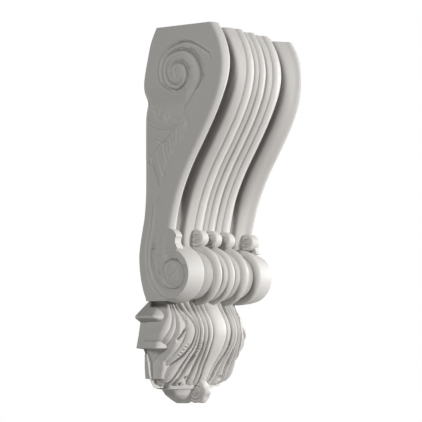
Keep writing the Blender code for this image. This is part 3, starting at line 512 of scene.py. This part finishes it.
def makeEdgeScroll(name, side, s=edgeScroll):
    outline = bend(s["outline"], int(s["points"] * fineness))
    d, z = outline[:, 0][None, :], outline[:, 1][None, :]
    midDepth, midHeight = s["middle"]
    away = np.hypot(d - midDepth, z - midHeight)
    inner = s["outer"] - s["width"]
    stops = [(s["outer"] - s["width"] * share, 0.0) for share in s["straight"]]
    stops += [(inner + s["rounding"] * (1 - math.sin(a)), s["rounding"] * (1 - math.cos(a)))
              for a in np.linspace(s["roundFrom"], math.pi / 2, s["roundSteps"])]
    x = np.concatenate([np.full_like(d, side * across) for across, inset in stops], axis=0)
    shrink = np.concatenate([1.0 - inset / away for across, inset in stops], axis=0)
    return gridMesh(name, x, midDepth + (d - midDepth) * shrink, midHeight + (z - midHeight) * shrink)


scrolls = [makeSmallScroll(i + 1, left, right) for i, (left, right) in enumerate(smallScrolls["spans"])]
scrolls += [makeEdgeScroll("edgeScrollLeft", -1.0)]
print("small scrolls made")


# the drop under the bolster
dropShape = {
    "sections": [      # height, half width, depth at the side, depth in the middle
        (172, 86, -2, 38), (164, 88, 3, 40), (141, 124, 14, 44), (137, 124, 15, 45), (131, 110, 18, 47),
        (110, 115, 18, 48), (89.5, 121, 17, 43), (88, 101, 17, 40), (80.5, 96, 17, 36), (79, 98, 17, 36),
        (60, 98, 15, 29), (41, 96, 10, 22), (39, 71, 6, 21), (24.5, 65, 3, 18), (23, 50, 1, 16),
        (14, 40, -2, 13), (6, 23, -6, 8), (0, 8, -11, -2),
    ],
    "rounding": 1.5, "bevel": 1.5, "frontShare": 0.985,
    "rowStep": 1.6, "sideColumns": 14, "frontColumns": 48,
}


def makeDrop(s=dropShape):
    sections = sorted(s["sections"])
    z = []
    for a, b in zip(sections, sections[1:]):
        count = max(2, int((b[0] - a[0]) / s["rowStep"] * fineness))
        z += list(np.linspace(a[0], b[0], count, endpoint=False))
    z = np.array(z + [sections[-1][0]])[:, None]
    half, sideDepth, midDepth = (ease(z, [(r[0], r[column]) for r in sections]) for column in (1, 2, 3))
    outward = np.linspace(0, 1, s["sideColumns"])
    side = [(sideDepth + wallGap - s["bevel"]) * t - wallGap for t in outward]
    share = np.linspace(s["frontShare"], -s["frontShare"], s["frontColumns"])
    front = [sideDepth + (midDepth - sideDepth) * dome(u, s["rounding"]) for u in share]
    x = np.concatenate([half] * len(side) + [half * u for u in share] + [-half] * len(side), axis=1)
    d = np.concatenate(side + front + side[::-1], axis=1)
    return gridMesh("drop", x, d, np.repeat(z, x.shape[1], axis=1))


drop = makeDrop()
print("drop made:", len(drop.data.polygons), "faces")


# the acanthus leaf over the drop
leafShape = {
    "sheet": [(0, 20, 50), (24, 22, 62), (44, 27, 88), (64, 36, 104), (88, 50.5, 118), (104, 57.5, 124),
              (118, 59.6, 126), (133, 56, 123), (154, 45, 114), (180, 36, 108)],      # height, depth, reach
    "wrap": 2.2, "root": -6.0, "top": 176.0, "bottom": 26.0, "rows": 190, "between": 9,
    "cutsRunOut": (30.0, 55.0), "grooveDeeper": 3.2, "crestHigher": 1.0, "deeperLines": 14,
    "mainCuts": (3, 7, 11), "mainCutDeeper": 4.0, "middleRise": 1.0, "roll": 1.8,
    "rightStretch": [(20, 1.04), (45, 1.06), (62, 1.07), (95, 1.06), (125, 1.02), (150, 1.0), (180, 1.0)],
    "steepestAcross": 2.5, "steepestUp": 1.5, "squareTo": -6.0, "leastStep": 0.08,
    "edgeThickness": 1.0, "edgeSlope": 0.06,
    "shadeStartLevel": -1.5, "shadeRampDepth": 5.5, "shadeWithinAcross": 92.0, "shadeAboveHeights": (28.0, 45.0),
    "heights": (176, 150, 125, 105, 90, 78, 62, 50, 40, 31, 24),
    "lines": [       # across, then level above the sheet; crests and grooves take turns
        ((13, 13, 13, 12, 12, 11, 8, 7, 6, 6, 5), (2, 3, 3.5, 3.5, 3.5, 3.5, 4, 4, 3, 0, -6)),
        ((20, 20, 19, 18, 17, 15, 12, 10, 9, 8, 7), (0, 0.5, 0.5, 0.5, 0.5, 0.5, 0, -1, -2, -4, -8)),
        ((28, 27, 27, 26, 25, 22, 18, 16, 15, 14, 12), (1, 2, 2.5, 2.5, 2.5, 2.5, 2, 2, 1, -3, -9)),
        ((36, 34, 34, 33, 32, 29, 25, 23, 22, 20, 17), (-2, -5, -6, -6, -6, -6, -5, -5, -6, -7, -10)),
        ((40, 39, 38, 37, 35, 33, 30, 28, 27, 25, 21), (1, 3, 3.5, 3.5, 3, 3, 3, 3, 2, -2, -10)),
        ((45, 45, 43, 42, 40, 38, 37, 37, 38, 36, 30), (0, 0.5, 0.5, 0, -1, -3, -4, -5, -7, -8, -12)),
        ((50, 50, 49, 48, 46, 46, 46, 48, 53, 56, 50), (1, 3, 3.5, 3.5, 3, 3, 3, 3, 3, 1, -12)),
        ((55, 54, 54, 53, 51, 53, 56, 58, 62, 64, 58), (-1, -2, -2, -2, -2, -4, -4, -5, -6, -8, -14)),
        ((62, 60, 57, 57, 57, 60, 63, 66, 70, 71, 64), (1, 3, 3.5, 3.5, 3.5, 4, 4, 4, 4, 1, -14)),
        ((70, 66, 59.5, 60, 61, 65, 68, 71, 74, 74, 68), (0, 1, 1.5, 1.5, 1.5, 1.5, 1, 1, 1, -2, -14)),
        ((78, 73, 62, 63, 66, 71, 79, 82, 82, 78, 72), (1, 3, 3.5, 3.5, 4, 5, 7, 8, 7, 3, -14)),
        ((84, 79, 65, 66, 70, 76, 87, 91, 90, 83, 76), (-2, -5, -6, -6, -6, -5, 0, 0, -3, -6, -16)),
        ((87, 83, 69, 70, 75, 82, 92, 95, 92, 86, 79), (1, 3, 4, 4.5, 4, 4, 0, -10, -12, -14, -18)),
        ((90, 86, 80, 82, 86, 90, 95, 98, 95, 88, 81), (2, 3, 2, 1, 2, 3, 0, -12, -14, -16, -20)),
        ((92, 90, 92, 94, 95, 97, 98, 100, 97, 90, 82), (2, 3, 4.5, 5, 4, 1, -4, -14, -16, -18, -22)),
        ((94, 91.5, 96, 101, 102, 101, 101, 102, 99, 92, 84),
         (0, -2, -3, -3, -5, -8, -14, -16, -18, -20, -24)),
        ((96, 93.5, 100, 107, 108, 105, 103, 104, 100, 93, 85),
         (2, 2.5, 2.5, 2, -5, -10, -15, -18, -20, -22, -26)),
        ((98, 95.5, 104, 112, 111, 108, 105, 105, 101, 94, 86),
         (0, -1, -1, -1.5, -7, -12, -16, -19, -22, -24, -28)),
        ((100, 98, 109, 117, 115, 111, 107, 106, 102, 95, 87),
         (2, 2.5, 2.5, 2, -8, -13, -17, -20, -24, -26, -30)),
        ((103, 102, 115, 121.5, 119, 114, 109, 107, 103, 96, 88),
         (-2, -1, 0, -1, -10, -14, -18, -21, -26, -28, -32)),
    ],
    "slits": [([(81, 122), (89, 111), (96, 101)], 9.0, 1.9), ([(49, 80), (53, 72), (58, 63)], 9.0, 1.7),
              ([(41, 102), (38, 88), (40, 76)], 3.0, 1.5)],      # points, depth and width
    "slitPoints": 14, "slitFade": 6.0,
    "beads": [[(53, 107), (50, 99), (48, 89)], [(77, 145), (79, 136), (79, 127)],
              [(76, 97), (80, 88), (84, 80)]],
    "beadCount": 5, "beadDepth": 2.2, "beadRadius": 1.3, "beadRim": 0.7, "beadRimAt": 2.2, "beadRimWidth": 0.9,
    "holes": [(49, 43, 3.0), (55, 33, 2.6)], "holeDepth": 7.0,      # across, height and radius
}


def sheetDepth(x, z, s=leafShape):
    reach = tableAt(s["sheet"], z, 2)
    return tableAt(s["sheet"], z, 1) * dome(np.minimum(1.0, np.abs(x) / reach), s["wrap"])


def leafDetail(x, z, s=leafShape):      # fine cuts, counted across from the middle
    x = np.abs(x)
    level = np.zeros(np.broadcast(x, z).shape)
    for points, depth, width in s["slits"]:
        far, _, along = nearLine(x, z, bend(points, s["slitPoints"]))
        ends = np.clip(s["slitFade"] * np.minimum(along, 1.0 - along), 0, 1)
        level = level - depth * ends * np.exp(-(far / width) ** 2)
    for points in s["beads"]:
        for beadX, beadZ in bend(points, s["beadCount"]):
            away = np.hypot(x - beadX, z - beadZ)
            rim = (away - s["beadRimAt"]) / s["beadRimWidth"]
            level = level - s["beadDepth"] * np.exp(-(away / s["beadRadius"]) ** 2)
            level = level + s["beadRim"] * np.exp(-rim ** 2)
    for holeX, holeZ, radius in s["holes"]:
        level = level - s["holeDepth"] * np.exp(-(np.hypot(x - holeX, z - holeZ) / radius) ** 4)
    return level


def makeLeaf(s=leafShape):
    z = np.linspace(s["bottom"], s["top"], int(s["rows"] * fineness))[:, None]
    between = max(3, int(s["between"] * fineness))
    lineX = [tableAt(list(zip(s["heights"], across)), z) for across, level in s["lines"]]
    lineL = [tableAt(list(zip(s["heights"], level)), z) for across, level in s["lines"]]
    full = softStep(*s["cutsRunOut"], z)      # the cuts run out towards the tip
    for k in range(1, s["deeperLines"]):
        lineL[k] = lineL[k] + (s["crestHigher"] if k % 2 == 0 else -s["grooveDeeper"]) * full
    for k in s["mainCuts"]:
        lineL[k] = lineL[k] - s["mainCutDeeper"] * full
    px, pl = [], []
    for t in np.linspace(0.0, 1.0, between + 3):
        px.append(lineX[0] * t)
        pl.append(lineL[0] + s["middleRise"] * dome(t))
    for k in range(len(lineX) - 1):
        for t in np.linspace(0.0, 1.0, between + 1)[1:]:
            share = 1.0 - dome(t, s["roll"]) if k % 2 == 0 else dome(1.0 - t, s["roll"])      # down or up
            px.append(lineX[k] + (lineX[k + 1] - lineX[k]) * t)
            pl.append(lineL[k] + (lineL[k + 1] - lineL[k]) * share)
    x, level = np.concatenate(px, axis=1), np.concatenate(pl, axis=1)
    zz = np.repeat(z, x.shape[1], axis=1)
    level = level + leafDetail(x, zz)
    slopeX = (sheetDepth(x + 1.0, zz) - sheetDepth(x - 1.0, zz)) / 2.0
    slopeZ = (sheetDepth(x, zz + 1.0) - sheetDepth(x, zz - 1.0)) / 2.0
    slopeX = np.clip(slopeX, -s["steepestAcross"], s["steepestAcross"])
    slopeZ = np.clip(slopeZ, -s["steepestUp"], s["steepestUp"])
    size = np.sqrt(slopeX ** 2 + slopeZ ** 2 + 1.0)
    square = np.maximum(level, s["squareTo"])      # square to the sheet, and deeper cuts straight back
    ox = x - slopeX / size * square
    od = sheetDepth(x, zz) + square / size + np.minimum(0.0, level - s["squareTo"])
    oz = zz - slopeZ / size * square
    for k in range(1, ox.shape[1]):
        ox[:, k] = np.maximum(ox[:, k], ox[:, k - 1] + s["leastStep"])
    edge = ox[:, -1:]
    od = np.maximum(od, s["root"] + s["edgeThickness"] + s["edgeSlope"] * (edge - ox))
    wider = tableAt(s["rightStretch"], z)      # the right half spreads a little more
    root = np.full_like(edge, s["root"])
    xAll = np.concatenate([edge * wider, ox[:, ::-1] * wider, -ox[:, 1:], -edge], axis=1)
    dAll = np.concatenate([root, od[:, ::-1], od[:, 1:], root], axis=1)
    zAll = np.concatenate([z, oz[:, ::-1], oz[:, 1:], z], axis=1)
    # painted shade: the leaf's cuts darken in colour by their depth, inside its middle and above its foot
    inCuts = (x < s["shadeWithinAcross"]) * softStep(*s["shadeAboveHeights"], z)
    cut = (s["shadeStartLevel"] - level) / s["shadeRampDepth"] * inCuts
    plain = np.zeros_like(edge)
    cutShade = np.concatenate([plain, cut[:, ::-1], cut[:, 1:], plain], axis=1)
    return gridMesh("leaf", xAll, dAll, zAll, cutShade)


leaf = makeLeaf()
print("leaf made:", len(leaf.data.polygons), "faces")


# the rolled tip at the foot of the leaf
tipShape = {
    "radius": 19.0, "depth": 19.0, "height": 19.2, "half": 8.5, "edge": 2.5, "edgeRound": 2.2, "bulge": 3.5,
    "steps": 96, "faceRings": 30, "edgeRings": 40, "eyeRadius": 0.2, "leastRadius": 0.8,
    "growth": 2.1, "channel": 2.4, "channelWidth": 0.15, "eye": (1.0, 3.0),
    "scallop": 0.07, "scallops": 6.0,
}


def makeTip(s=tipShape):
    turn = fullTurn(s["steps"])
    faceRadius = s["radius"] - s["edge"]

    def winding(r):
        turns = np.log(np.maximum(r, s["leastRadius"]) / faceRadius) / math.log(s["growth"])
        phase = (turns + turn / math.tau) % 1.0 - 0.5
        return s["channel"] * np.exp(-(phase / s["channelWidth"]) ** 2) * softStep(*s["eye"], r)
    faceRings = int(s["faceRings"] * fineness) + 4
    rings = [(np.full_like(turn, r), -s["half"] - s["bulge"] * (1 - (r / faceRadius) ** 2) + winding(r))
             for r in np.linspace(s["eyeRadius"], faceRadius, faceRings)]
    for t in np.linspace(-1.0, 1.0, int(s["edgeRings"] * fineness) + 5):
        scallop = 1.0 + s["scallop"] * np.cos(s["scallops"] * turn) * dome(t)
        radius = (faceRadius + s["edge"] * dome(t, s["edgeRound"])) * scallop
        rings.append((radius, np.full_like(turn, s["half"] * t)))
    return turnedMesh("rolledTip", rings, faceRings, turn, s)


rolledTip = makeTip()
pieces = [scrollBody, bolster, drop, leaf, rolledTip] + sideFaces + scrolls
print("rolled tip made")


# camera, light and floor
cameraSettings = {
    "place": (-2.47785, -1.70242, -0.21505), "turn": 56.5, "tilt": 4.40,
    "lens": 155.4, "sensor": 36.0, "clip": (0.1, 50.0),
}


def makeCamera(s=cameraSettings):
    data = bpy.data.cameras.new("viewCamera")
    data.sensor_width, data.lens = s["sensor"], s["lens"]
    data.clip_start, data.clip_end = s["clip"]
    camera = bpy.data.objects.new("viewCamera", data)
    bpy.context.scene.collection.objects.link(camera)
    camera.location = s["place"]
    turn, tilt = math.radians(s["turn"]), math.radians(s["tilt"])
    way = Vector((math.sin(turn) * math.cos(tilt), math.cos(turn) * math.cos(tilt), math.sin(tilt)))
    camera.rotation_mode = 'QUATERNION'
    camera.rotation_quaternion = way.to_track_quat('-Z', 'Y')
    bpy.context.scene.camera = camera


makeCamera()

studioLights = [      # azimuth from the front towards +X, elevation, distance, disc size, power
    ("keyLight", 18, 6, 4.2, 0.7, 178),
    ("rightLight", 75, 8, 4.2, 1.0, 136),
    ("leftLight", -72, 20, 4.2, 1.0, 90),
]


def softLight(name, azimuth, elevation, distance, size, power):      # a disc that faces the origin
    data = bpy.data.lights.new(name, 'AREA')
    data.shape, data.size, data.energy = 'DISK', size, power
    light = bpy.data.objects.new(name, data)
    bpy.context.scene.collection.objects.link(light)
    a, e = math.radians(azimuth), math.radians(elevation)
    place = Vector((math.sin(a) * math.cos(e), -math.cos(a) * math.cos(e), math.sin(e))) * distance
    light.location = place
    light.rotation_mode = 'QUATERNION'
    light.rotation_quaternion = (-place).to_track_quat('-Z', 'Y')


for settings in studioLights:
    softLight(*settings)
print("camera and lights placed")


class Link:      # wraps a shader socket, so that sums on it can be written out
    def __init__(self, tree, socket):
        self.tree, self.socket = tree, socket

    def sum(self, operation, *values):
        return addNode(self.tree, "ShaderNodeMath", {"operation": operation}, dict(enumerate(values)))

    def __add__(self, other):
        return self.sum('ADD', self, other)

    def __sub__(self, other):
        return self.sum('SUBTRACT', self, other)

    def __rsub__(self, other):
        return self.sum('SUBTRACT', other, self)

    def __mul__(self, other):
        return self.sum('MULTIPLY', self, other)

    __radd__, __rmul__ = __add__, __mul__


def addNode(tree, kind, settings, values, output=0):      # settings go in first, then values or links
    node = tree.nodes.new(kind)
    for key, value in settings.items():
        setattr(node, key, value)
    for key, value in values.items():
        if isinstance(value, Link):
            tree.links.new(value.socket, node.inputs[key])
        else:
            node.inputs[key].default_value = value
    return Link(tree, node.outputs[output])


studioWorld = {"white": (1.0, 1.0, 1.0, 1.0), "around": 0.005, "backdrop": 1.0}


def makeWorld(s=studioWorld):      # a white backdrop that hardly lights the piece
    world = bpy.data.worlds.new("studio")
    bpy.context.scene.world = world
    world.use_nodes = True
    tree = world.node_tree
    around = tree.nodes["Background"]
    around.inputs["Color"].default_value, around.inputs["Strength"].default_value = s["white"], s["around"]
    backdrop = addNode(tree, "ShaderNodeBackground", {}, {"Color": s["white"], "Strength": s["backdrop"]})
    seen = addNode(tree, "ShaderNodeLightPath", {}, {}, "Is Camera Ray")
    mixed = addNode(tree, "ShaderNodeMixShader", {}, {0: seen, 1: Link(tree, around.outputs[0]), 2: backdrop})
    tree.links.new(mixed.socket, tree.nodes["World Output"].inputs["Surface"])
    bpy.context.scene.view_settings.view_transform = "Standard"


makeWorld()

castPlaster = {
    "pale": (0.53, 0.515, 0.495, 1.0), "dull": (0.485, 0.468, 0.446, 1.0),
    "patches": (9.0, 3.0), "specks": (160.0, 2.0), "grain": (900.0, 2.0),      # scale and detail
    "patchShare": 0.7, "speckShare": 0.5, "dullFrom": 0.1,
    "paintedCutShade": (0.13, 0.124, 0.118, 1.0), "cutShadeStrength": 0.7,      # painted shade: the dark colour put deep in the cuts, and how strongly
    "roughness": 0.58, "roughSpread": 0.12,
    "grainHeight": 0.00025, "grainStrength": 0.35, "grainShare": 0.5,
}


def makePlaster(s=castPlaster):
    material = bpy.data.materials.new("castPlaster")
    material.use_nodes = True
    tree = material.node_tree
    shader = tree.nodes["Principled BSDF"]
    where = addNode(tree, "ShaderNodeTexCoord", {}, {}, "Object")

    def cloud(scale, detail):
        values = {"Vector": where, "Scale": scale, "Detail": detail}
        return addNode(tree, "ShaderNodeTexNoise", {}, values, "Fac")

    def blend(share, first, second):      # 6, 7 and 2 are the colour sockets of a Mix node
        return addNode(tree, "ShaderNodeMix", {"data_type": 'RGBA'}, {0: share, 6: first, 7: second}, 2)
    patches, specks, grain = cloud(*s["patches"]), cloud(*s["specks"]), cloud(*s["grain"])
    dullness = patches * s["patchShare"] + specks * s["speckShare"] - s["dullFrom"]
    # painted shade: the cut depth stored on each point darkens the base colour, standing in for the shade that
    # falls in grooves and channels
    cutShade = addNode(tree, "ShaderNodeAttribute", {"attribute_name": "paintedShade"}, {}, "Fac")
    colour = blend(cutShade * s["cutShadeStrength"], blend(dullness, s["pale"], s["dull"]), s["paintedCutShade"])
    height = specks * (1.0 - s["grainShare"]) + grain * s["grainShare"]
    bump = addNode(tree, "ShaderNodeBump", {},
                   {"Strength": s["grainStrength"], "Distance": s["grainHeight"], "Height": height})
    roughness = s["roughness"] + s["roughSpread"] * (1 - specks)
    for key, value in (("Base Color", colour), ("Roughness", roughness), ("Normal", bump)):
        tree.links.new(value.socket, shader.inputs[key])
    return material


plaster = makePlaster()
print("plaster mixed")

studioFloor = {"half": 1.2, "height": -0.9, "colour": (0.7, 0.69, 0.68, 1.0)}      # in metres
bpy.ops.mesh.primitive_plane_add(size=2.0 * studioFloor["half"], location=(0.0, 0.0, studioFloor["height"]))
floor = bpy.context.object
floor.name = "floor"
floorPaint = bpy.data.materials.new("floorPaint")
floorPaint.use_nodes = True
floorPaint.node_tree.nodes["Principled BSDF"].inputs["Base Color"].default_value = studioFloor["colour"]
floor.data.materials.append(floorPaint)
print("floor laid")

for piece in pieces:
    piece.data.materials.append(plaster)
    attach(piece, "root")
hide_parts("corbel")
